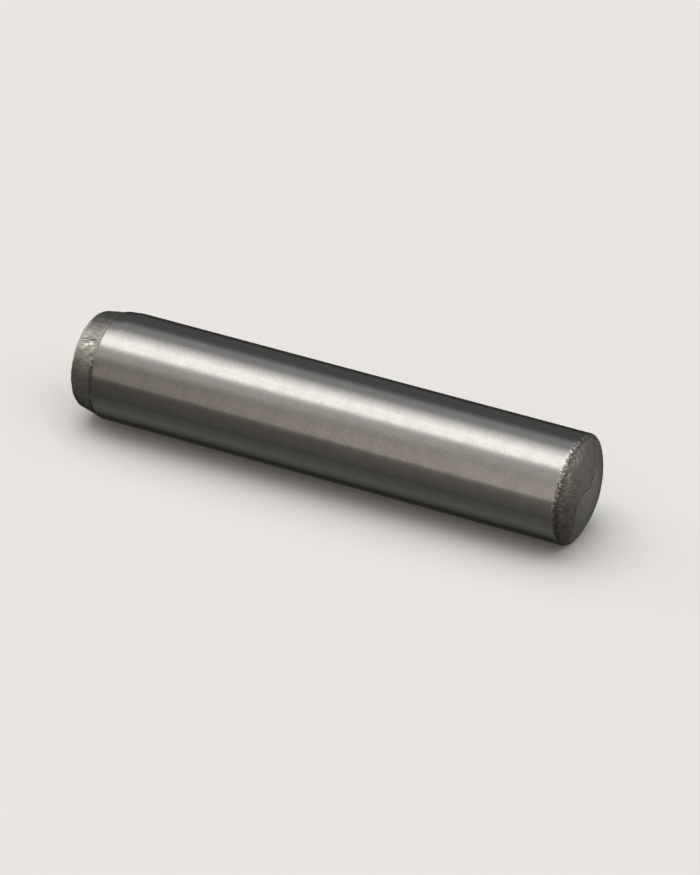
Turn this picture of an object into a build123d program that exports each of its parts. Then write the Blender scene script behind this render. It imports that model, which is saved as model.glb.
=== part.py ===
"""Hardened steel dowel pin, one piece: a ground shank with a domed head end and a tapered lead end.

The pin lies along X with its domed end towards +X. The origin is on the axis, at half the overall length.
"""
import math
import os

from build123d import *

# Driving dimensions, in millimetres and degrees
PIN_DIAMETER = 10.0
OVERALL_LENGTH = 50.0

# Domed end: a spherical dome, with its rim broken by a small round
CROWN_RADIUS = 10.0
CROWN_EDGE_ROUND = 0.25

# Lead end: a taper from the ground surface to a slightly domed face, with a well rounded corner between
LEAD_TAPER_LENGTH = 2.5
LEAD_TAPER_ANGLE = 13.0
LEAD_FACE_RADIUS = 10.0
LEAD_CORNER_ROUND = 0.8


def dome_height(sphere_radius, rim_radius):
    """Height of a spherical dome above the circle that it stands on."""
    return sphere_radius - math.sqrt(sphere_radius**2 - rim_radius**2)


def half_section():
    """Half of the pin's outline: x runs along the axis and y is the distance from it."""
    shank_radius = PIN_DIAMETER / 2
    face_rim_radius = shank_radius - LEAD_TAPER_LENGTH * math.tan(math.radians(LEAD_TAPER_ANGLE))

    lead_tip = Vector(-OVERALL_LENGTH / 2, 0)
    lead_corner = Vector(lead_tip.X + dome_height(LEAD_FACE_RADIUS, face_rim_radius), face_rim_radius)
    shank_start = Vector(lead_corner.X + LEAD_TAPER_LENGTH, shank_radius)
    crown_tip = Vector(OVERALL_LENGTH / 2, 0)
    crown_rim = Vector(crown_tip.X - dome_height(CROWN_RADIUS, shank_radius), shank_radius)

    lead_face = RadiusArc(lead_tip, lead_corner, LEAD_FACE_RADIUS)
    taper = Line(lead_corner, shank_start)
    shank = Line(shank_start, crown_rim)
    crown = RadiusArc(crown_rim, crown_tip, CROWN_RADIUS)
    centre_line = Line(crown_tip, lead_tip)

    section = make_face([lead_face, taper, shank, crown, centre_line])
    section = round_corner(section, lead_corner, LEAD_CORNER_ROUND)
    return round_corner(section, crown_rim, CROWN_EDGE_ROUND)


def round_corner(section, corner, radius):
    """The section with the corner nearest to a point rounded."""
    nearest = section.vertices().sort_by_distance(corner)[0]
    return fillet(nearest, radius)


def make_dowel_pin():
    """The whole pin, turned about its axis."""
    return revolve(half_section(), axis=Axis.X)


def main():
    """Write the pin to its own file."""
    os.makedirs("parts", exist_ok=True)
    export_step(make_dowel_pin(), "parts/dowel_pin.step")


main()
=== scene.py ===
"""Looks of a hardened steel dowel pin lying on a pale studio floor.

The pin is one turned piece along X, with its domed end towards +X and its tapered lead end towards -X.
Sizes are in metres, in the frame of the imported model, where nothing says millimetres. An angle round the
pin counts from -Y towards +Z.
"""
from __future__ import annotations

import logging
import math
import random
from collections.abc import Callable
from dataclasses import dataclass, field
from enum import Enum

import bpy
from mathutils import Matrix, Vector


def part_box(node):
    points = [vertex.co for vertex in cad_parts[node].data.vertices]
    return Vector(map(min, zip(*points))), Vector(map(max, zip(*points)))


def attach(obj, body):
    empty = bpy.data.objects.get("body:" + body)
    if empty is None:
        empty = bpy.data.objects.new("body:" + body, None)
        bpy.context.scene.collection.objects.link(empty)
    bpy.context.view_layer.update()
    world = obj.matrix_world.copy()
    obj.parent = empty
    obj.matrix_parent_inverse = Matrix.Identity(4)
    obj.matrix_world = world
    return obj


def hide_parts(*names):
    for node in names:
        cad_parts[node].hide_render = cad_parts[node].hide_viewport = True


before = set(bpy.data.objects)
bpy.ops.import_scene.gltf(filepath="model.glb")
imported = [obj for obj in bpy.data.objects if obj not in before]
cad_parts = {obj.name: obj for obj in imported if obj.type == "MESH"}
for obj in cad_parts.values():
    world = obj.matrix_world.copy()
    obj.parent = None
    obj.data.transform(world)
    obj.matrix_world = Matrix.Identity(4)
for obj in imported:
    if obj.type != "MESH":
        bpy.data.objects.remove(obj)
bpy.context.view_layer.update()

log = logging.getLogger("dowel_pin")

Triple = tuple[float, float, float]
Colour = Triple
Range = tuple[float, float]

MILLIMETRE = 0.001
CAD_NODE = "dowel_pin"

# The weight up to which a relief leaves a vertex alone, and how many of its lengths away a mark ends.
LEAST_WEIGHT = 0.001
MARK_REACH = 3.0

# The sockets of a Mix node for its factor and its two colours, and the one that gives the mixed colour.
MIX_INPUTS = (0, 6, 7)
MIX_OUTPUT = 2


class Zone(Enum):
    """What the pin's mesh carries for its finishes, with the names of its attributes."""

    SMOOTH = "lap_zone"
    # Where painted shade darkens the crease at the foot of the fold.
    CREASE = "lap_crease"
    BRUISE = "bruise"


class Finish(Enum):
    """The three finishes of the pin, by material slot."""

    TUMBLED = 0
    GROUND = 1
    FORMED = 2


class Pattern(Enum):
    """What a relief's depth follows."""

    EVEN = "even"
    CLOUDS = "CLOUDS"
    CELLS = "VORONOI"


class Push(Enum):
    """Which way a relief moves the skin."""

    INWARDS = "NORMAL"
    ALONG = "X"


def fade(value: float, start: float, end: float) -> float:
    """Return a smooth step of a value, from 0 at start to 1 at end, where end may be the lower one."""
    share = min(max((value - start) / (end - start), 0.0), 1.0)
    return share * share * (3 - 2 * share)


def hump(value: float, middle: float, width: float) -> float:
    """Return 1 where a value is at the middle, falling smoothly to about 0 at twice the width."""
    return math.exp(-(((value - middle) / width) ** 2))


def rgba(colour: Colour) -> tuple[float, float, float, float]:
    """Return a colour with full alpha."""
    return (*colour, 1.0)


class Signal:
    """A number that changes over a surface: one output socket, with arithmetic that adds Math nodes."""

    def __init__(self, shading: Shading, socket: bpy.types.NodeSocket) -> None:
        """Wrap a socket of a node tree."""
        self.shading = shading
        self.socket = socket

    def smooth(self, low: float, high: float) -> Signal:
        """Return a smooth step of this signal, from 0 at low to 1 at high."""
        return self.shading.smooth(self, low, high)

    def __add__(self, other: Signal | float) -> Signal:
        """Return self + other."""
        return self.shading.maths("ADD", self, other)

    def __sub__(self, other: Signal | float) -> Signal:
        """Return self - other."""
        return self.shading.maths("SUBTRACT", self, other)

    def __mul__(self, other: Signal | float) -> Signal:
        """Return self * other."""
        return self.shading.maths("MULTIPLY", self, other)

    def __rsub__(self, other: float) -> Signal:
        """Return other - self."""
        return self.shading.maths("SUBTRACT", other, self)

    def __neg__(self) -> Signal:
        """Return self with its sign turned."""
        return self.shading.maths("MULTIPLY", self, -1.0)

    __radd__ = __add__
    __rmul__ = __mul__


class Shading:
    """Adds shader nodes to one node tree."""

    def __init__(self, tree: bpy.types.NodeTree) -> None:
        """Empty the tree and keep it."""
        self.tree = tree
        tree.nodes.clear()

    def node(
        self,
        kind: str,
        settings: dict[str, object] | None = None,
        inputs: dict[str | int, object] | None = None,
    ) -> bpy.types.Node:
        """Add one node.

        Args:
            kind: the node's type, such as ShaderNodeTexNoise.
            settings: its own properties, with a ramp's stops under the name stops.
            inputs: a value, a socket or a Signal for each input socket, by name or number.

        Returns:
            The new node.
        """
        made = self.tree.nodes.new(kind)
        for name, value in (settings or {}).items():
            if name == "stops":
                self.set_stops(made, value)
            else:
                setattr(made, name, value)
        for key, value in (inputs or {}).items():
            socket = made.inputs[key]
            if isinstance(value, Signal):
                self.tree.links.new(value.socket, socket)
            elif isinstance(value, bpy.types.NodeSocket):
                self.tree.links.new(value, socket)
            else:
                socket.default_value = value
        return made

    @staticmethod
    def set_stops(ramp: bpy.types.Node, stops: list[tuple[float, Colour]]) -> None:
        """Give a ramp node its stops.

        Args:
            ramp: the node.
            stops: the place from 0 to 1 and the colour of each, in order of place.
        """
        elements = ramp.color_ramp.elements
        while len(elements) < len(stops):
            elements.new(1.0)
        for element, (place, colour) in zip(elements, stops):
            element.position = place
            element.color = rgba(colour)

    def maths(self, operation: str, *values: Signal | float) -> Signal:
        """Return the result of a Math node with an operation, on values in order."""
        made = self.node("ShaderNodeMath", {"operation": operation}, dict(enumerate(values)))
        return Signal(self, made.outputs[0])

    def smooth(self, value: Signal, low: float, high: float) -> Signal:
        """Add a smooth step.

        Args:
            value: what it steps.
            low: the value at which it is 0.
            high: the value at which it is 1.

        Returns:
            The step.
        """
        made = self.node(
            "ShaderNodeMapRange",
            {"interpolation_type": "SMOOTHSTEP"},
            {"Value": value, "From Min": low, "From Max": high},
        )
        return Signal(self, made.outputs["Result"])

    def blend(
        self,
        factor: Signal | float,
        first: Colour | bpy.types.NodeSocket,
        second: Colour | bpy.types.NodeSocket,
    ) -> bpy.types.NodeSocket:
        """Blend two colours.

        Args:
            factor: 0 for the first colour, 1 for the second.
            first: a colour or the socket that gives one.
            second: the same.

        Returns:
            The colour between them.
        """
        ends = (rgba(end) if isinstance(end, tuple) else end for end in (first, second))
        inputs = dict(zip(MIX_INPUTS, (factor, *ends)))
        made = self.node("ShaderNodeMix", {"data_type": "RGBA"}, inputs)
        return made.outputs[MIX_OUTPUT]

    def stretched(self, where: bpy.types.NodeSocket, scale: Triple) -> bpy.types.NodeSocket:
        """Return coordinates that are multiplied by a scale for each axis."""
        return self.node("ShaderNodeMapping", None, {"Vector": where, "Scale": scale}).outputs[0]

    def axes(self, where: bpy.types.NodeSocket) -> tuple[Signal, Signal, Signal]:
        """Return the X, Y and Z of coordinates."""
        made = self.node("ShaderNodeSeparateXYZ", None, {0: where})
        return Signal(self, made.outputs[0]), Signal(self, made.outputs[1]), Signal(self, made.outputs[2])


@dataclass(frozen=True)
class Grain:
    """A noise pattern: how large its blobs are, at which values it shows, and how broken they are."""

    size: float
    span: Range = (0.0, 1.0)
    detail: float = 2.0
    roughness: float = 0.5
    stretch: Triple | None = None


class Metal:
    """One bare metal material, which is given what varies over its surface."""

    def __init__(self, name: str) -> None:
        """Start a material whose patterns read the piece's own coordinates."""
        self.material = bpy.data.materials.new(name)
        self.material.use_nodes = True
        self.shading = Shading(self.material.node_tree)
        self.place = self.shading.node("ShaderNodeTexCoord").outputs["Object"]

    def noise(self, grain: Grain) -> Signal:
        """Add a grain's noise.

        Args:
            grain: the grain.

        Returns:
            Its noise, of about 0.5 on average.
        """
        where = self.shading.stretched(self.place, grain.stretch) if grain.stretch else self.place
        inputs = {"Vector": where, "Scale": 1 / grain.size}
        inputs |= {"Detail": grain.detail, "Roughness": grain.roughness}
        made = self.shading.node("ShaderNodeTexNoise", None, inputs)
        return Signal(self.shading, made.outputs[0])

    def shown(self, grain: Grain) -> Signal:
        """Return how far a grain shows, from 0 to 1."""
        return self.noise(grain).smooth(*grain.span)

    def mark(self, zone: Zone) -> Signal:
        """Return how far the surface lies in a zone."""
        made = self.shading.node("ShaderNodeAttribute", {"attribute_name": zone.value})
        return Signal(self.shading, made.outputs["Fac"])

    def finish(self, colour: bpy.types.NodeSocket, roughness: Signal, height: Signal) -> bpy.types.Material:
        """Join the finish to the shader.

        Args:
            colour: the reflected colour.
            roughness: the roughness.
            height: the height of the fine relief, in metres.

        Returns:
            The finished material.
        """
        normal = self.shading.node("ShaderNodeBump", None, {"Distance": 1.0, "Height": height})
        inputs = {"Base Color": colour, "Metallic": 1.0, "Roughness": roughness, "Normal": normal.outputs[0]}
        surface = self.shading.node("ShaderNodeBsdfPrincipled", None, inputs)
        self.shading.node("ShaderNodeOutputMaterial", None, {"Surface": surface.outputs[0]})
        return self.material


@dataclass(frozen=True)
class GroundSteel:
    """The shank's centreless-ground finish: bright, finely speckled, with faint marks round the pin."""

    name: str = "ground_steel"
    bright: Colour = (0.63, 0.629, 0.627)
    dull: Colour = (0.530, 0.528, 0.525)
    roughness: float = 0.09
    dull_roughness: float = 0.045
    haze_roughness: float = 0.035
    specks: Grain = Grain(0.17 * MILLIMETRE, (0.38, 0.66), roughness=0.55)
    speck_share: float = 0.55
    speck_depth: float = 0.0026 * MILLIMETRE
    streaks: Grain = Grain(0.12 * MILLIMETRE, (0.45, 0.7), stretch=(1.0, 0.05, 0.05))
    streak_share: float = 0.04
    waves: Grain = Grain(1.3 * MILLIMETRE, (0.4, 0.62))
    wave_share: float = 0.3
    wave_depth: float = 0.005 * MILLIMETRE
    haze_span: Range = (0.45, 0.7)

    def build(self) -> bpy.types.Material:
        """Mix the finish.

        Returns:
            The finished material.
        """
        metal = Metal(self.name)
        specks = metal.noise(self.specks)
        waves = metal.noise(self.waves)
        speckled = specks.smooth(*self.specks.span) * self.speck_share
        streaked = metal.shown(self.streaks) * self.streak_share
        dullness = speckled + streaked + waves.smooth(*self.waves.span) * self.wave_share
        colour = metal.shading.blend(dullness, self.bright, self.dull)
        haze = waves.smooth(*self.haze_span)
        roughness = self.roughness + dullness * self.dull_roughness + haze * self.haze_roughness
        height = specks * self.speck_depth + waves * self.wave_depth
        return metal.finish(colour, roughness, height)


@dataclass(frozen=True)
class TumbledSteel:
    """The lead end's finish: satin, tumbled, with tinted patches and a dark line of painted shade beside the
    ground edge.
    """

    edge_x: float
    name: str = "tumbled_steel"
    grey: Colour = (0.455, 0.45, 0.42)
    brown: Colour = (0.395, 0.365, 0.325)
    patches: Grain = Grain(1.2 * MILLIMETRE, (0.42, 0.6), detail=3.0, roughness=0.6)
    roughness: float = 0.34
    grain: Grain = Grain(0.16 * MILLIMETRE, detail=3.0, roughness=0.6)
    grain_depth: float = 0.006 * MILLIMETRE
    grain_roughness: float = 0.3
    dents: Grain = Grain(0.55 * MILLIMETRE)
    dent_depth: float = 0.03 * MILLIMETRE
    # Painted shade: a dark line beside the ground edge, deeper on the low side and broken in patches.
    edge_shade_colour: Colour = (0.15, 0.138, 0.12)
    edge_shade_strength: float = 0.9
    edge_shade_roughness: float = 0.1
    edge_shade_reach: Range = (0.75 * MILLIMETRE, 0.075 * MILLIMETRE)
    edge_shade_patches: Range = (0.25, 0.5)
    edge_shade_top: Range = (2.6 * MILLIMETRE, 4.2 * MILLIMETRE)
    edge_shade_loss_on_top: float = 0.7
    # Painted highlight and shade: the bruise's colour runs in bright and dark streaks over its real relief.
    bruise_painted_glint: Colour = (0.80, 0.785, 0.755)
    bruise_painted_shade: Colour = (0.31, 0.295, 0.27)
    bruise_glint_streaks: Grain = Grain(0.24 * MILLIMETRE, (0.42, 0.58), stretch=(0.3, 1.0, 1.0))
    bruise_polish: float = 0.2

    def build(self) -> bpy.types.Material:
        """Mix the finish.

        Returns:
            The finished material.
        """
        metal = Metal(self.name)
        blend = metal.shading.blend
        bruise = metal.mark(Zone.BRUISE)
        grain = metal.noise(self.grain)
        patches = metal.noise(self.patches)
        # The dark line beside the ground edge is painted shade.
        line = self.painted_edge_shade(metal, patches)
        tinted = blend(patches.smooth(*self.patches.span), self.grey, self.brown)
        edge_shaded = blend(line * self.edge_shade_strength, tinted, self.edge_shade_colour)
        # Painted highlights and shade in streaks across the bruise.
        bruise_glints_and_shade = blend(metal.shown(self.bruise_glint_streaks), self.bruise_painted_shade, self.bruise_painted_glint)
        colour = blend(bruise, edge_shaded, bruise_glints_and_shade)
        rubbed = (grain - 0.5) * self.grain_roughness - bruise * self.bruise_polish
        roughness = self.roughness + rubbed + line * self.edge_shade_roughness
        height = grain * self.grain_depth + metal.noise(self.dents) * self.dent_depth
        return metal.finish(colour, roughness, height)

    def painted_edge_shade(self, metal: Metal, patches: Signal) -> Signal:
        """Paint a dark line of shade beside the ground edge, broken in patches and fainter on top.

        Args:
            metal: the material.
            patches: the noise of its patches.

        Returns:
            How dark the painted shade is, from 0 to 1.
        """
        along, _, up = metal.shading.axes(metal.place)
        start, full = self.edge_shade_reach
        beside_edge = along.smooth(self.edge_x - start, self.edge_x - full)
        low_side = 1 - up.smooth(*self.edge_shade_top) * self.edge_shade_loss_on_top
        return beside_edge * low_side * patches.smooth(*self.edge_shade_patches)


@dataclass(frozen=True)
class FormedSteel:
    """The dome's finish: matte and mottled as formed, smooth past its fold, with painted shade in the fold's
    crease and towards the back, and bright grit on its rim with painted glints.
    """

    radius: float
    name: str = "formed_steel"
    grey: Colour = (0.485, 0.465, 0.44)
    brown: Colour = (0.37, 0.345, 0.315)
    patches: Grain = Grain(0.9 * MILLIMETRE, (0.42, 0.66), detail=4.0, roughness=0.65)
    roughness: float = 0.44
    grain: Grain = Grain(0.11 * MILLIMETRE, roughness=0.6)
    grain_depth: float = 0.012 * MILLIMETRE
    smooth_grey: Colour = (0.64, 0.638, 0.605)
    # Painted shade: the smooth zone darkens towards the back.
    smooth_grey_shaded_at_back: Colour = (0.46, 0.458, 0.435)
    smooth_strength: float = 0.8
    smooth_polish: float = 0.06
    smooth_grain_loss: float = 0.6
    back: Range = (0.5 * MILLIMETRE, 4.2 * MILLIMETRE)
    middle: Range = (0.8 * MILLIMETRE, 3.0 * MILLIMETRE)
    middle_strength: float = 0.5
    # Painted shade in the crease at the foot of the fold's step.
    crease_painted_shade: Colour = (0.20, 0.19, 0.175)
    crease_shade_strength: float = 0.8
    low: Range = (-1.0 * MILLIMETRE, 2.5 * MILLIMETRE)
    front: Range = (-1.5 * MILLIMETRE, 2.0 * MILLIMETRE)
    scale: Grain = Grain(0.26 * MILLIMETRE, (0.44, 0.58), detail=3.0, roughness=0.65)
    scale_reach: Range = (2.2 * MILLIMETRE, 0.66 * MILLIMETRE)
    scale_strength: float = 0.75
    # The rim's grit is painted in bright and dark grains: partly its own tone, partly painted glints and
    # shade.
    rim_glint_bright: Colour = (0.62, 0.605, 0.58)
    rim_dark: Colour = (0.24, 0.225, 0.205)
    rim_glint_grains: Grain = Grain(0.21 * MILLIMETRE, (0.46, 0.6), detail=1.0)
    rim_reach: Range = (0.6 * MILLIMETRE, 0.24 * MILLIMETRE)
    rim_roughness: float = 0.24
    rim_strength: float = 0.85
    rim_loss_low_in_front: float = 0.35

    def build(self) -> bpy.types.Material:
        """Mix the finish.

        Returns:
            The finished material.
        """
        metal = Metal(self.name)
        blend = metal.shading.blend
        _, across, up = metal.shading.axes(metal.place)
        from_axis = metal.shading.maths("SQRT", across * across + up * up)
        smooth = metal.mark(Zone.SMOOTH)
        low_front = (1 - up.smooth(*self.low)) * (1 - across.smooth(*self.front))
        rim = self.near_rim(from_axis, self.rim_reach)
        scaled = metal.shown(self.scale) * self.near_rim(from_axis, self.scale_reach) * low_front

        plain = blend(metal.shown(self.patches), self.grey, self.brown)
        middle = 1 - from_axis.smooth(*self.middle)
        centred = blend(middle * self.middle_strength, plain, self.smooth_grey)
        mottled = blend(scaled * self.scale_strength, centred, self.rim_dark)
        # Painted shade darkens the smooth zone towards the back.
        smooth_shaded_to_back = blend(across.smooth(*self.back), self.smooth_grey, self.smooth_grey_shaded_at_back)
        zoned = blend(smooth * self.smooth_strength, mottled, smooth_shaded_to_back)
        # Painted shade in the fold's crease.
        crease_shaded = blend(metal.mark(Zone.CREASE) * self.crease_shade_strength, zoned, self.crease_painted_shade)
        # Painted glints and shade on the rim's grit, partly its own tone.
        gritty = blend(metal.shown(self.rim_glint_grains), self.rim_dark, self.rim_glint_bright)
        grit_strength = self.rim_strength - low_front * self.rim_loss_low_in_front
        colour = blend(rim * grit_strength, crease_shaded, gritty)

        rim_polish = self.roughness - self.rim_roughness
        roughness = self.roughness - rim * rim_polish - smooth * self.smooth_polish
        height = metal.noise(self.grain) * self.grain_depth * (1 - smooth * self.smooth_grain_loss)
        return metal.finish(colour, roughness, height)

    def near_rim(self, from_axis: Signal, reach: Range) -> Signal:
        """Return how near the rim the surface is: 0 at the reach's first distance, 1 at its second."""
        return from_axis.smooth(self.radius - reach[0], self.radius - reach[1])


@dataclass(frozen=True)
class Spot:
    """A place on the pin's skin, given by its distances along and from the axis and its angle round it."""

    along: float
    radius: float
    angle: float

    @property
    def across(self) -> float:
        """The spot's Y, in millimetres."""
        return -self.radius * math.cos(self.angle) / MILLIMETRE

    @property
    def up(self) -> float:
        """The spot's Z, in millimetres."""
        return self.radius * math.sin(self.angle) / MILLIMETRE


@dataclass(frozen=True)
class Mark:
    """A dent or scratch of the lead end, in millimetres and degrees. Its depth is a share of the deepest."""

    along: float
    angle: float
    length: float
    width: float
    turn: float = 0.0
    depth: float = 1.0

    def press(self, spot: Spot) -> float:
        """Find how deep the mark is at a spot.

        Args:
            spot: a place on the skin.

        Returns:
            The depth there, as a share of the deepest mark.
        """
        forward = spot.along / MILLIMETRE - self.along
        if abs(forward) > MARK_REACH * self.length:
            return 0.0
        sideways = (math.degrees(spot.angle) - self.angle + 180) % 360 - 180
        sideways *= math.radians(1.0) * spot.radius / MILLIMETRE
        turn = math.radians(self.turn)
        lengthwise = forward * math.cos(turn) + sideways * math.sin(turn)
        crosswise = sideways * math.cos(turn) - forward * math.sin(turn)
        return self.depth * hump(lengthwise, 0, self.length) * hump(crosswise, 0, self.width)


LEAD_MARKS = (
    Mark(along=-23.25, angle=61.0, length=0.20, width=0.16, depth=0.8),
    Mark(along=-22.95, angle=57.0, length=0.50, width=0.09, turn=-3, depth=0.35),
    Mark(along=-22.45, angle=51.5, length=0.19, width=0.17, depth=0.7),
    Mark(along=-22.20, angle=46.5, length=0.45, width=0.08, turn=2, depth=0.5),
    Mark(along=-22.95, angle=47.5, length=0.22, width=0.12, turn=-12, depth=0.5),
    Mark(along=-22.05, angle=36.5, length=0.30, width=0.24, turn=-10, depth=0.8),
    Mark(along=-21.75, angle=30.0, length=0.38, width=0.14, turn=-16, depth=0.8),
)
MARKS_SEED = 5
SMALL_DENTS = 40
DRAG_MARKS = 12


def lead_marks() -> list[Mark]:
    """Gather the marks of the lead end: the listed ones, small dents all round, and drags in its bruise.

    Returns:
        The marks.
    """
    chance = random.Random(MARKS_SEED)
    dents = [
        Mark(
            along=chance.uniform(-24.0, -21.8),
            angle=chance.uniform(75.0, 385.0),
            length=chance.uniform(0.1, 0.25),
            width=chance.uniform(0.06, 0.14),
            turn=chance.uniform(-25.0, 25.0),
            depth=chance.uniform(0.15, 0.4),
        )
        for _ in range(SMALL_DENTS)
    ]
    drags = [
        Mark(
            along=chance.uniform(-23.4, -22.1),
            angle=chance.uniform(43.0, 61.0),
            length=chance.uniform(0.2, 0.45),
            width=chance.uniform(0.08, 0.15),
            turn=chance.uniform(-9.0, 9.0),
            depth=chance.uniform(0.5, 1.0),
        )
        for _ in range(DRAG_MARKS)
    ]
    return [*LEAD_MARKS, *dents, *drags]


@dataclass(frozen=True)
class FoldPoint:
    """A corner of the fold line on the dome, in millimetres across and up, with its share of the step."""

    across: float
    up: float
    step: float


FOLD_LINE = (
    FoldPoint(2.3, 4.4, step=0.0),
    FoldPoint(1.25, 2.9, step=0.1),
    FoldPoint(0.88, 1.92, step=0.4),
    FoldPoint(0.62, 1.16, step=1.0),
    FoldPoint(0.03, 1.32, step=1.0),
    FoldPoint(-0.09, 0.70, step=1.0),
    FoldPoint(-0.78, 0.70, step=1.0),
    FoldPoint(-1.43, 0.68, step=0.9),
    FoldPoint(-1.75, 0.45, step=0.35),
    FoldPoint(-2.45, 0.3, step=0.1),
    FoldPoint(-2.75, -0.9, step=0.0),
    FoldPoint(-2.5, -2.3, step=0.0),
    FoldPoint(-2.4, -4.4, step=0.0),
)


def fold_side(across: float, up: float) -> tuple[float, float]:
    """Find a place on the dome relative to the fold line.

    Args:
        across: the place's Y, in millimetres.
        up: its Z, in millimetres.

    Returns:
        Its distance from the line in millimetres, above 0 on the smooth side, and the step's share there.
    """
    best = (math.inf, 0.0, 0.0)
    for start, end in zip(FOLD_LINE, FOLD_LINE[1:]):
        run_across, run_up = end.across - start.across, end.up - start.up
        to_across, to_up = across - start.across, up - start.up
        share = (to_across * run_across + to_up * run_up) / (run_across**2 + run_up**2)
        share = min(max(share, 0.0), 1.0)
        distance = math.hypot(to_across - share * run_across, to_up - share * run_up)
        if distance < best[0]:
            side = run_up * to_across - run_across * to_up
            step = start.step + share * (end.step - start.step)
            best = (distance, side, step)
    distance, side, step = best
    return math.copysign(distance, -side), step


@dataclass(frozen=True)
class Relief:
    """One layer of unevenness, which only ever takes metal away. Depth and grain are in millimetres."""

    name: str
    weigh: Callable[[Spot], float]
    pattern: Pattern = Pattern.EVEN
    depth: float = 1.0
    grain: float = 1.0
    layers: int = 2
    push: Push = Push.INWARDS

    def press(self, piece: bpy.types.Object, spots: list[Spot]) -> None:
        """Press the layer into a piece.

        Args:
            piece: the piece, whose vertices are at the spots.
            spots: where each vertex is on the pin's skin.
        """
        group = piece.vertex_groups.new(name=self.name)
        for index, spot in enumerate(spots):
            weight = self.weigh(spot)
            if weight > LEAST_WEIGHT:
                group.add([index], weight, "REPLACE")
        modifier = piece.modifiers.new(self.name, "DISPLACE")
        modifier.vertex_group = group.name
        modifier.direction = self.push.value
        modifier.mid_level = 0.0
        modifier.strength = -self.depth * MILLIMETRE
        if self.pattern is not Pattern.EVEN:
            modifier.texture = self.texture()
            modifier.texture_coords = "LOCAL"
        bpy.ops.object.modifier_apply(modifier=modifier.name)
        piece.vertex_groups.clear()

    def texture(self) -> bpy.types.Texture:
        """Make the texture that the depth follows.

        Returns:
            The texture.
        """
        texture = bpy.data.textures.new(self.name, self.pattern.value)
        texture.noise_scale = self.grain * MILLIMETRE
        if self.pattern is Pattern.CLOUDS:
            texture.noise_depth = self.layers
        return texture


class Pen:
    """Draws an outline of joined edges in edit mode, in the plane of the axis and +Z."""

    def __init__(self, name: str, start: Vector) -> None:
        """Make a mesh object that holds one selected vertex.

        Args:
            name: the object's name.
            start: where the outline starts.
        """
        bpy.ops.mesh.primitive_plane_add(size=MILLIMETRE, location=(0, 0, 0))
        self.piece = bpy.context.object
        self.piece.name = name
        self.piece.data.name = name
        bpy.ops.object.mode_set(mode="EDIT")
        bpy.ops.mesh.select_all(action="SELECT")
        bpy.ops.mesh.merge(type="CENTER")
        bpy.ops.transform.translate(value=start)

    def line(self, move: Vector, steps: int = 1) -> None:
        """Extend the outline straight, in equal steps."""
        for _ in range(steps):
            bpy.ops.mesh.extrude_region_move(TRANSFORM_OT_translate={"value": move / steps})

    def arc(self, centre: Vector, angle: float, steps: int) -> None:
        """Extend the outline round a centre, by an angle in radians from -X towards +Z."""
        bpy.ops.mesh.spin(steps=steps, angle=angle, center=centre, axis=(0, -1, 0))


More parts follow.
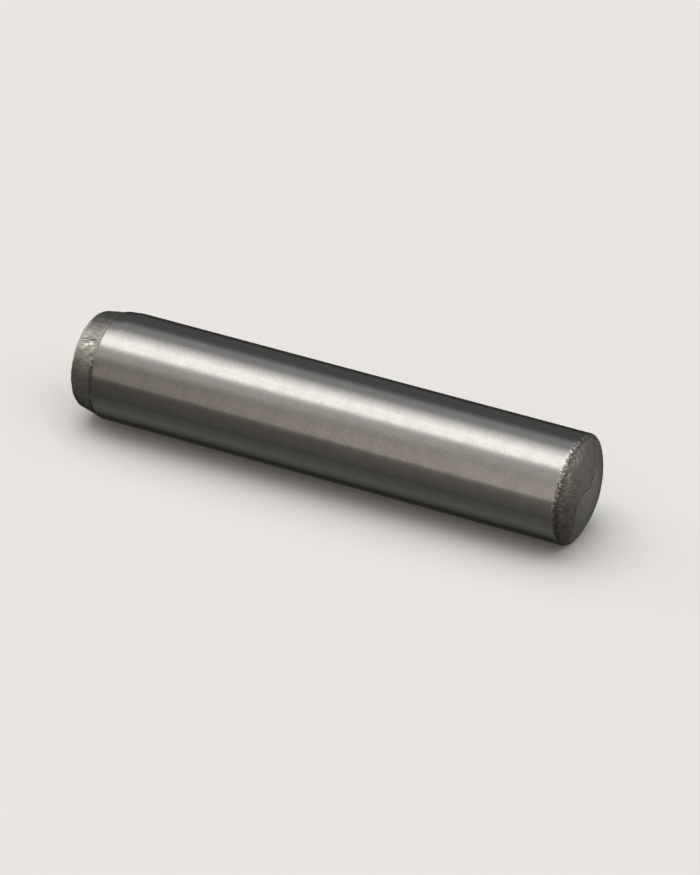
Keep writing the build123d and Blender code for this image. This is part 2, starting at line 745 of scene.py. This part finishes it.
@dataclass
class DowelPin:
    """The new pin, turned from its outline, with its three finishes."""

    name: str = "pin_of_steel"
    taper_length: float = 2.5 * MILLIMETRE
    taper_angle: float = math.radians(13.0)
    face_radius: float = 10.0 * MILLIMETRE
    corner_round: float = 0.8 * MILLIMETRE
    crown_radius: float = 10.0 * MILLIMETRE
    crown_round: float = 0.25 * MILLIMETRE
    rolled_length: float = 1.2 * MILLIMETRE
    grit_width: float = 0.65 * MILLIMETRE
    steps_round: int = 560
    face_steps: int = 34
    corner_steps: int = 14
    taper_steps: int = 26
    rolled_steps: int = 11
    shank_grit_steps: int = 6
    rim_steps: int = 6
    crown_grit_steps: int = 12
    crown_steps: int = 60
    merge_distance: float = 1e-7
    piece: bpy.types.Object = field(init=False)

    def __post_init__(self) -> None:
        """Read the pin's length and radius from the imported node's box, and find both ends of its shank."""
        low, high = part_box(CAD_NODE)
        self.tip_x = high[0]
        self.tail_x = low[0]
        self.radius = max(high[1], high[2])
        face_rim = self.radius - self.taper_length * math.tan(self.taper_angle)
        face_height = self.face_radius - math.sqrt(self.face_radius**2 - face_rim**2)
        self.shank_start_x = self.tail_x + face_height + self.taper_length
        self.crown_centre = Vector((self.tip_x - self.crown_radius, 0, 0))
        crown_reach = self.crown_radius - self.crown_round
        self.crown_angle = math.asin((self.radius - self.crown_round) / crown_reach)
        self.rim_x = self.crown_centre.x + crown_reach * math.cos(self.crown_angle)

    def build(self) -> bpy.types.Object:
        """Model the pin and dress it.

        Returns:
            The pin.
        """
        self.draw_outline()
        self.turn()
        self.dress()
        return self.piece

    def corner_centre(self) -> Vector:
        """Find the centre of the round that touches both the taper and the lead face.

        Returns:
            The centre, in the plane of the outline.
        """
        slope = math.tan(self.taper_angle)
        face_centre_x = self.tail_x + self.face_radius
        reach = self.face_radius - self.corner_round
        offset = self.corner_round / math.cos(self.taper_angle)
        base = self.radius - offset + (face_centre_x - self.shank_start_x) * slope
        half = base * slope / (1 + slope**2)
        gap = math.sqrt(half**2 - (base**2 - reach**2) / (1 + slope**2))
        along = half + gap
        return Vector((face_centre_x - along, 0, base - along * slope))

    def draw_outline(self) -> None:
        """Draw the outline from the lead face's middle to the dome's tip, in finer steps where it is worn."""
        corner = self.corner_centre()
        face_centre = Vector((self.tail_x + self.face_radius, 0, 0))
        face_angle = math.asin(corner.z / (self.face_radius - self.corner_round))
        corner_angle = math.pi / 2 - self.taper_angle - face_angle
        taper_normal = Vector((-math.sin(self.taper_angle), 0, math.cos(self.taper_angle)))
        taper_start = corner + self.corner_round * taper_normal
        taper_end = Vector((self.shank_start_x, 0, self.radius))
        plain_length = self.rim_x - self.shank_start_x - self.rolled_length - self.grit_width
        rim_centre = Vector((self.rim_x, 0, self.radius - self.crown_round))
        grit_angle = self.grit_width / self.crown_radius

        pen = Pen(self.name, Vector((self.tail_x, 0, 0)))
        self.piece = pen.piece
        pen.arc(face_centre, face_angle, self.face_steps)
        pen.arc(corner, corner_angle, self.corner_steps)
        pen.line(taper_end - taper_start, self.taper_steps)
        pen.line(Vector((self.rolled_length, 0, 0)), self.rolled_steps)
        pen.line(Vector((plain_length, 0, 0)))
        pen.line(Vector((self.grit_width, 0, 0)), self.shank_grit_steps)
        pen.arc(rim_centre, math.pi / 2 - self.crown_angle, self.rim_steps)
        pen.arc(self.crown_centre, grit_angle, self.crown_grit_steps)
        pen.arc(self.crown_centre, self.crown_angle - grit_angle, self.crown_steps)
        bpy.ops.object.mode_set(mode="OBJECT")
        bpy.ops.object.transform_apply(location=True, rotation=True, scale=True)

    def turn(self) -> None:
        """Turn the drawn outline about the axis into a closed skin."""
        screw = self.piece.modifiers.new("turned", "SCREW")
        screw.axis = "X"
        screw.steps = self.steps_round
        screw.render_steps = self.steps_round
        screw.use_merge_vertices = True
        screw.merge_threshold = self.merge_distance
        bpy.ops.object.modifier_apply(modifier=screw.name)
        bpy.ops.object.mode_set(mode="EDIT")
        bpy.ops.mesh.select_all(action="SELECT")
        bpy.ops.mesh.remove_doubles(threshold=self.merge_distance)
        bpy.ops.mesh.normals_make_consistent(inside=False)
        bpy.ops.mesh.faces_shade_smooth()
        bpy.ops.object.mode_set(mode="OBJECT")

    def dress(self) -> None:
        """Give the lead end, the shank and the dome their finishes."""
        finishes = {
            Finish.TUMBLED: TumbledSteel(edge_x=self.shank_start_x),
            Finish.GROUND: GroundSteel(),
            Finish.FORMED: FormedSteel(radius=self.radius),
        }
        for finish in finishes.values():
            self.piece.data.materials.append(finish.build())
        for face in self.piece.data.polygons:
            face.material_index = self.finish_at(face.center.x).value

    def finish_at(self, along: float) -> Finish:
        """Return the finish at a distance along the axis."""
        ahead = Finish.GROUND if along < self.rim_x else Finish.FORMED
        return Finish.TUMBLED if along < self.shank_start_x else ahead


@dataclass
class Wear:
    """What is rubbed, knocked and pitted off the pin, in layers that each have a weight from 0 to 1.

    A pair of numbers is where a weight starts and where it is full. The fold's sizes are in millimetres.
    """

    pin: DowelPin
    roll_middle: float = math.radians(118)
    roll_span: Range = (math.radians(62), math.radians(10))
    roll_on_lead: Range = (-3.0 * MILLIMETRE, -0.3 * MILLIMETRE)
    lead_edge_reach: float = 0.45 * MILLIMETRE
    rim_edge_reach: float = 0.3 * MILLIMETRE
    lead_span: float = 0.5 * MILLIMETRE
    marks_past_edge: float = 0.3 * MILLIMETRE
    bruise_along: float = -22.75 * MILLIMETRE
    bruise_length: float = 0.75 * MILLIMETRE
    bruise_degrees: float = 51.0
    bruise_width_degrees: float = 9.0
    fold_edge: Range = (0.05, -0.05)
    fold_falloff: float = 1.0
    crease_shade_middle: float = -0.09
    crease_shade_width: float = 0.09
    smooth_edge: Range = (-0.1, 0.2)
    smooth_top: Range = (2.4, 1.2)
    dome_inset: Range = (0.2 * MILLIMETRE, 0.9 * MILLIMETRE)
    pits_inset: Range = (3.0 * MILLIMETRE, 0.8 * MILLIMETRE)
    least_pits: float = 0.35
    grit_inset: Range = (1.25 * MILLIMETRE, 0.35 * MILLIMETRE)
    grit_on_shank: float = 0.06 * MILLIMETRE
    coarse_degrees_above: Range = (0.0, 40.0)
    coarse_degrees_below: Range = (-60.0, -120.0)
    finest_grit: float = 0.2
    marks: list[Mark] = field(default_factory=lead_marks)

    def build(self) -> None:
        """Write the pin's zones on its mesh and press its layers of wear into it."""
        spots = self.survey()
        self.write_zones(spots)
        for relief in self.reliefs():
            relief.press(self.pin.piece, spots)

    def survey(self) -> list[Spot]:
        """List the place of each vertex of the new pin.

        Returns:
            The places on its skin.
        """
        return [
            Spot(vertex.co.x, math.hypot(vertex.co.y, vertex.co.z), math.atan2(vertex.co.z, -vertex.co.y))
            for vertex in self.pin.piece.data.vertices
        ]

    def write_zones(self, spots: list[Spot]) -> None:
        """Write on the mesh how far each vertex lies in each zone.

        Args:
            spots: where each vertex is.
        """
        zones = {Zone.SMOOTH: self.smooth, Zone.CREASE: self.crease_shaded, Zone.BRUISE: self.bruised}
        for zone, weigh in zones.items():
            values = [weigh(spot) for spot in spots]
            attribute = self.pin.piece.data.attributes.new(zone.value, "FLOAT", "POINT")
            attribute.data.foreach_set("value", values)

    def reliefs(self) -> list[Relief]:
        """List the layers of wear.

        Returns:
            The layers, in the order in which they are pressed.
        """
        clouds = Pattern.CLOUDS
        return [
            Relief("rolled_edge", self.rolled, depth=0.12),
            Relief("lead_edge_drift", self.at_lead_edge, clouds, depth=0.22, grain=1.5, push=Push.ALONG),
            Relief("rim_edge_drift", self.at_rim, clouds, depth=0.12, grain=1.8, push=Push.ALONG),
            Relief("lead_waves", self.on_lead, clouds, depth=0.05, grain=0.7, layers=1),
            Relief("lead_bruise", self.bruised, clouds, depth=0.15, grain=0.45),
            Relief("lead_marks", self.marked, depth=0.05),
            Relief("dome_waves", self.on_dome, clouds, depth=0.05, grain=0.8),
            Relief("dome_fold", self.folded, depth=0.07),
            Relief("dome_pits", self.pitted, clouds, depth=0.035, grain=0.28, layers=0),
            Relief("rim_grit", self.gritty, Pattern.CELLS, depth=0.07, grain=0.21),
        ]

    def rolled(self, spot: Spot) -> float:
        """Weigh the roll-off at the ground edge of the lead end, on the top and the back.

        Args:
            spot: a place on the skin.

        Returns:
            The weight there.
        """
        ahead = spot.along - self.pin.shank_start_x
        lengthwise = fade(ahead, self.pin.rolled_length, 0) * fade(ahead, *self.roll_on_lead)
        away = (spot.angle - self.roll_middle + math.pi) % math.tau - math.pi
        return lengthwise * fade(abs(away), *self.roll_span)

    def at_lead_edge(self, spot: Spot) -> float:
        """Weigh the ground edge of the shank at the lead end."""
        return hump(spot.along, self.pin.shank_start_x, self.lead_edge_reach)

    def at_rim(self, spot: Spot) -> float:
        """Weigh the ground edge of the shank at the dome."""
        return hump(spot.along, self.pin.rim_x, self.rim_edge_reach)

    def on_lead(self, spot: Spot) -> float:
        """Weigh all of the lead end, up to its ground edge."""
        return fade(spot.along, self.pin.shank_start_x, self.pin.shank_start_x - self.lead_span)

    def bruised(self, spot: Spot) -> float:
        """Weigh the knocked patch on the lead end, low on its upper front.

        Args:
            spot: a place on the skin.

        Returns:
            The weight there.
        """
        if spot.along > self.pin.shank_start_x:
            return 0.0
        lengthwise = hump(spot.along, self.bruise_along, self.bruise_length)
        return lengthwise * hump(math.degrees(spot.angle), self.bruise_degrees, self.bruise_width_degrees)

    def marked(self, spot: Spot) -> float:
        """Weigh the dents and scratches on the lead end."""
        in_reach = spot.along <= self.pin.shank_start_x + self.marks_past_edge
        return min(sum(mark.press(spot) for mark in self.marks), 1.0) if in_reach else 0.0

    def inside_rim(self, spot: Spot, inset: Range) -> float:
        """Weigh the dome by the distance inside its rim, where an inset is the distances of 0 and 1."""
        return fade(self.pin.radius - spot.radius, *inset) if spot.along >= self.pin.rim_x else 0.0

    def on_dome(self, spot: Spot) -> float:
        """Weigh all of the dome, inside its rim."""
        return self.inside_rim(spot, self.dome_inset)

    def fold_at(self, spot: Spot) -> tuple[float, float]:
        """Return a spot's distance past the fold line, and the share of the step there."""
        return fold_side(spot.across, spot.up) if spot.along > self.pin.rim_x else (-math.inf, 0.0)

    def smooth(self, spot: Spot) -> float:
        """Weigh the dome's smooth zone, past the fold and below the top."""
        distance, _ = self.fold_at(spot)
        return fade(distance, *self.smooth_edge) * fade(spot.up, *self.smooth_top)

    def crease_shaded(self, spot: Spot) -> float:
        """Weigh the painted shade in the crease along the foot of the fold's step."""
        distance, step = self.fold_at(spot)
        return step * hump(distance, self.crease_shade_middle, self.crease_shade_width)

    def folded(self, spot: Spot) -> float:
        """Weigh the step along the fold line."""
        distance, step = self.fold_at(spot)
        return step * fade(distance, *self.fold_edge) * math.exp(min(distance, 0) / self.fold_falloff)

    def pitted(self, spot: Spot) -> float:
        """Weigh the fine pits on the dome, which get shallower towards its middle."""
        weight = self.least_pits + (1 - self.least_pits) * self.inside_rim(spot, self.pits_inset)
        return weight if spot.along >= self.pin.rim_x else 0.0

    def gritty(self, spot: Spot) -> float:
        """Weigh the grit on the dome's rim, which is finer low on the front.

        Args:
            spot: a place on the skin.

        Returns:
            The weight there.
        """
        degrees = math.degrees(spot.angle)
        coarse = max(fade(degrees, *self.coarse_degrees_above), fade(degrees, *self.coarse_degrees_below))
        coarseness = self.finest_grit + (1 - self.finest_grit) * coarse
        if spot.along < self.pin.rim_x:
            return coarseness * fade(spot.along, self.pin.rim_x - self.grit_on_shank, self.pin.rim_x)
        return coarseness * self.inside_rim(spot, self.grit_inset)


@dataclass(frozen=True)
class Direction:
    """A stop of the surroundings: its angle in degrees or its height, and its level from 0 to 255."""

    place: float
    seen: Colour

    def light(self) -> Colour:
        """Return the stop's light in linear terms, by the usual display curve."""
        return tuple(((value / 255 + 0.055) / 1.055) ** 2.4 for value in self.seen)


# The levels are those that the steel is to show. Where the shank mirrors a direction to the camera, they
# follow levels measured on the shank in the photograph, changed until the rendered bands matched.
# Round the axis they run from the back at -180 degrees, under the pin, to the front at 0 and over the top.
SEEN_FROM_THE_LEFT = (
    Direction(-180, (44, 43, 42)),
    Direction(-104, (32, 31, 30)),
    Direction(-93, (56, 55, 52)),
    Direction(-75, (74, 73, 69)),
    Direction(-41, (61, 60, 57)),
    Direction(-10, (88, 84, 79)),
    Direction(-3, (104, 99, 91)),
    Direction(1, (147, 140, 131)),
    Direction(15, (150, 142, 132)),
    Direction(38, (138, 133, 126)),
    Direction(56, (146, 143, 138)),
    Direction(62, (170, 166, 160)),
    Direction(70, (240, 234, 228)),
    Direction(86, (240, 234, 228)),
    Direction(114, (120, 119, 117)),
    Direction(130, (112, 113, 113)),
    Direction(138, (80, 80, 80)),
    Direction(146, (66, 65, 65)),
    Direction(180, (64, 63, 62)),
)

SEEN_FROM_THE_RIGHT = (
    Direction(-180, (86, 84, 81)),
    Direction(-150, (92, 90, 86)),
    Direction(-138, (88, 86, 82)),
    Direction(-122, (58, 56, 53)),
    Direction(-100, (44, 42, 40)),
    Direction(-45, (60, 58, 55)),
    Direction(-5, (86, 83, 77)),
    Direction(5, (128, 123, 116)),
    Direction(40, (140, 137, 131)),
    Direction(62, (180, 177, 172)),
    Direction(72, (240, 236, 231)),
    Direction(104, (240, 236, 231)),
    Direction(116, (160, 159, 157)),
    Direction(150, (116, 115, 114)),
    Direction(175, (98, 97, 95)),
    Direction(180, (86, 84, 81)),
)

SEEN_OVER_THE_LEAD_END = (
    Direction(-180, (64, 63, 62)),
    Direction(-104, (36, 35, 34)),
    Direction(-75, (74, 73, 70)),
    Direction(-41, (70, 68, 65)),
    Direction(-10, (84, 81, 77)),
    Direction(5, (100, 98, 93)),
    Direction(25, (122, 120, 115)),
    Direction(40, (152, 149, 144)),
    Direction(55, (174, 171, 165)),
    Direction(70, (178, 175, 169)),
    Direction(75, (236, 233, 226)),
    Direction(85, (236, 233, 226)),
    Direction(90, (158, 155, 150)),
    Direction(112, (128, 127, 124)),
    Direction(130, (112, 111, 109)),
    Direction(146, (84, 83, 81)),
    Direction(180, (64, 63, 62)),
)

# Past each end they run by height, from straight down at -1 to straight up at 1.
SEEN_PAST_THE_DOME = (
    Direction(-1.0, (45, 43, 41)),
    Direction(-0.5, (60, 58, 55)),
    Direction(-0.15, (80, 78, 74)),
    Direction(-0.02, (98, 95, 90)),
    Direction(0.08, (150, 147, 142)),
    Direction(0.6, (175, 173, 170)),
    Direction(1.0, (225, 222, 218)),
)

SEEN_PAST_THE_LEAD_END = (
    Direction(-1.0, (50, 48, 46)),
    Direction(-0.55, (66, 64, 61)),
    Direction(-0.4, (95, 93, 89)),
    Direction(-0.25, (150, 148, 144)),
    Direction(-0.1, (205, 203, 198)),
    Direction(0.3, (205, 203, 198)),
    Direction(1.0, (225, 222, 218)),
)


@dataclass(frozen=True)
class Surroundings:
    """What the steel mirrors, put together from lines of light, and the pale backdrop that the camera sees.

    A pair of numbers is where something starts and where it is full: for the wall, in turns from the back
    down under the pin, and for the rest along or across the pin, in parts of a direction of length 1.
    """

    strength: float = 1.7
    backdrop: Colour = (0.829, 0.805, 0.766)
    left_to_right: Range = (-0.1, 0.4)
    over_lead_end: Range = (0.54, 0.66)
    past_dome: Range = (0.72, 0.92)
    past_lead_end: Range = (0.68, 0.85)
    panel_at_back: Range = (-0.1, 0.2)
    wall_foot: Range = (0.3, 0.5)
    wall_top: Range = (0.58, 0.64)
    shadow_start: Range = (-0.46, -0.33)
    shadow_end: Range = (-0.66, -0.54)
    shadow_depth: float = 0.62

    def build(self) -> None:
        """Paint the world."""
        world = bpy.data.worlds.new("studio_surroundings")
        world.use_nodes = True
        bpy.context.scene.world = world
        shading = Shading(world.node_tree)
        direction = shading.node("ShaderNodeTexCoord").outputs["Generated"]
        along, across, up = shading.axes(direction)
        turn = shading.maths("ARCTAN2", up, -across) * (1 / math.tau) + 0.5
        colour = self.colour(shading, (along, across, up), turn)
        strength = (1 - self.wall_shadow(along, turn) * self.shadow_depth) * self.strength
        mirrored = shading.node("ShaderNodeBackground", None, {"Color": colour, "Strength": strength})
        backdrop = shading.node("ShaderNodeBackground", None, {"Color": rgba(self.backdrop)})
        seen_straight = shading.node("ShaderNodeLightPath").outputs["Is Camera Ray"]
        shaders = {0: seen_straight, 1: mirrored.outputs[0], 2: backdrop.outputs[0]}
        either = shading.node("ShaderNodeMixShader", None, shaders)
        shading.node("ShaderNodeOutputWorld", None, {"Surface": either.outputs[0]})

    def colour(
        self, shading: Shading, direction: tuple[Signal, Signal, Signal], turn: Signal
    ) -> bpy.types.NodeSocket:
        """Join the lines of light.

        Args:
            shading: the world's nodes.
            direction: the direction along the axis, away from the front and up.
            turn: the direction's part of a whole turn round the axis.

        Returns:
            The light from that direction.
        """
        along, across, up = direction
        height = up * 0.5 + 0.5
        left = self.line(shading, turn, SEEN_FROM_THE_LEFT)
        right = self.line(shading, turn, SEEN_FROM_THE_RIGHT)
        over_lead = self.line(shading, turn, SEEN_OVER_THE_LEAD_END)
        past_dome = self.line(shading, height, SEEN_PAST_THE_DOME)
        past_lead = self.line(shading, height, SEEN_PAST_THE_LEAD_END)
        front_sides = shading.blend(along.smooth(*self.left_to_right), left, right)
        sides = shading.blend((-along).smooth(*self.over_lead_end), front_sides, over_lead)
        to_dome = shading.blend(along.smooth(*self.past_dome), sides, past_dome)
        panel = (-along).smooth(*self.past_lead_end) * across.smooth(*self.panel_at_back)
        return shading.blend(panel, to_dome, past_lead)

    def wall_shadow(self, along: Signal, turn: Signal) -> Signal:
        """Return the shade on the front wall, between its start and its end nearer the lead end."""
        wall = turn.smooth(*self.wall_foot) * (1 - turn.smooth(*self.wall_top))
        return wall * (1 - along.smooth(*self.shadow_start)) * along.smooth(*self.shadow_end)

    @staticmethod
    def line(shading: Shading, place: Signal, seen: tuple[Direction, ...]) -> bpy.types.NodeSocket:
        """Add one line of light.

        Args:
            shading: the world's nodes.
            place: where on the line a direction is, from 0 to 1.
            seen: the line's stops, in order.

        Returns:
            The light from that direction.
        """
        first, last = seen[0].place, seen[-1].place
        stops = [((stop.place - first) / (last - first), stop.light()) for stop in seen]
        return shading.node("ShaderNodeValToRGB", {"stops": stops}, {0: place}).outputs[0]


@dataclass(frozen=True)
class Studio:
    """The floor, the light, the surroundings and the camera."""

    floor_colour: Colour = (0.79, 0.79, 0.785)
    floor_width: float = 6.0
    sun_strength: float = 1.0
    sun_width: float = math.radians(55)
    sun_lean: Triple = (math.radians(-14), math.radians(-16), 0.0)
    sun_place: Triple = (-0.1, 0.1, 0.6)
    camera_azimuth: float = math.radians(26.97)
    camera_elevation: float = math.radians(32.405)
    camera_distance: float = 0.48169
    camera_lens_mm: float = 226.29
    camera_near: float = 0.01
    aim: Triple = (0.00155, 0.000077, -0.00106)

    def build(self) -> None:
        """Build all of it."""
        self.lay_floor()
        self.hang_light()
        Surroundings().build()
        self.set_camera()

    def lay_floor(self) -> None:
        """Lay a plain pale floor under the pin, which its steel doesn't mirror."""
        low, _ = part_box(CAD_NODE)
        bpy.ops.object.select_all(action="DESELECT")
        bpy.ops.mesh.primitive_plane_add(size=self.floor_width, location=(0, 0, low[2]))
        floor = bpy.context.object
        floor.name = "studio_floor"
        material = bpy.data.materials.new("floor_paint")
        material.use_nodes = True
        shading = Shading(material.node_tree)
        surface = shading.node("ShaderNodeBsdfDiffuse", None, {"Color": rgba(self.floor_colour)})
        shading.node("ShaderNodeOutputMaterial", None, {"Surface": surface.outputs[0]})
        floor.data.materials.append(material)
        floor.visible_glossy = False

    def hang_light(self) -> None:
        """Hang a wide soft light that falls the same everywhere on the floor."""
        bpy.ops.object.light_add(type="SUN", location=self.sun_place)
        light = bpy.context.object
        light.name = "soft_overhead_light"
        light.rotation_euler = self.sun_lean
        light.data.angle = self.sun_width
        light.data.energy = self.sun_strength
        light.visible_glossy = False

    def set_camera(self) -> None:
        """Look at the pin as the photograph does."""
        azimuth, elevation = self.camera_azimuth, self.camera_elevation
        level = math.cos(elevation)
        back = Vector((math.sin(azimuth) * level, -math.cos(azimuth) * level, math.sin(elevation)))
        bpy.ops.object.camera_add(location=Vector(self.aim) + back * self.camera_distance)
        camera = bpy.context.object
        camera.name = "studio_camera"
        camera.rotation_mode = "QUATERNION"
        camera.rotation_quaternion = (-back).to_track_quat("-Z", "Y")
        camera.data.lens = self.camera_lens_mm
        camera.data.clip_start = self.camera_near
        bpy.context.scene.camera = camera


def main() -> None:
    """Build the pin, its wear and the studio, and report each piece."""
    logging.basicConfig(level=logging.INFO, format="%(name)s: %(message)s")
    bpy.ops.object.select_all(action="DESELECT")
    bpy.context.scene.view_settings.view_transform = "Standard"
    pin = DowelPin()
    piece = pin.build()
    Wear(pin).build()
    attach(piece, "root")
    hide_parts(CAD_NODE)
    log.info("%s: %d faces", piece.name, len(piece.data.polygons))
    Studio().build()


if __name__ == "__main__":
    main()
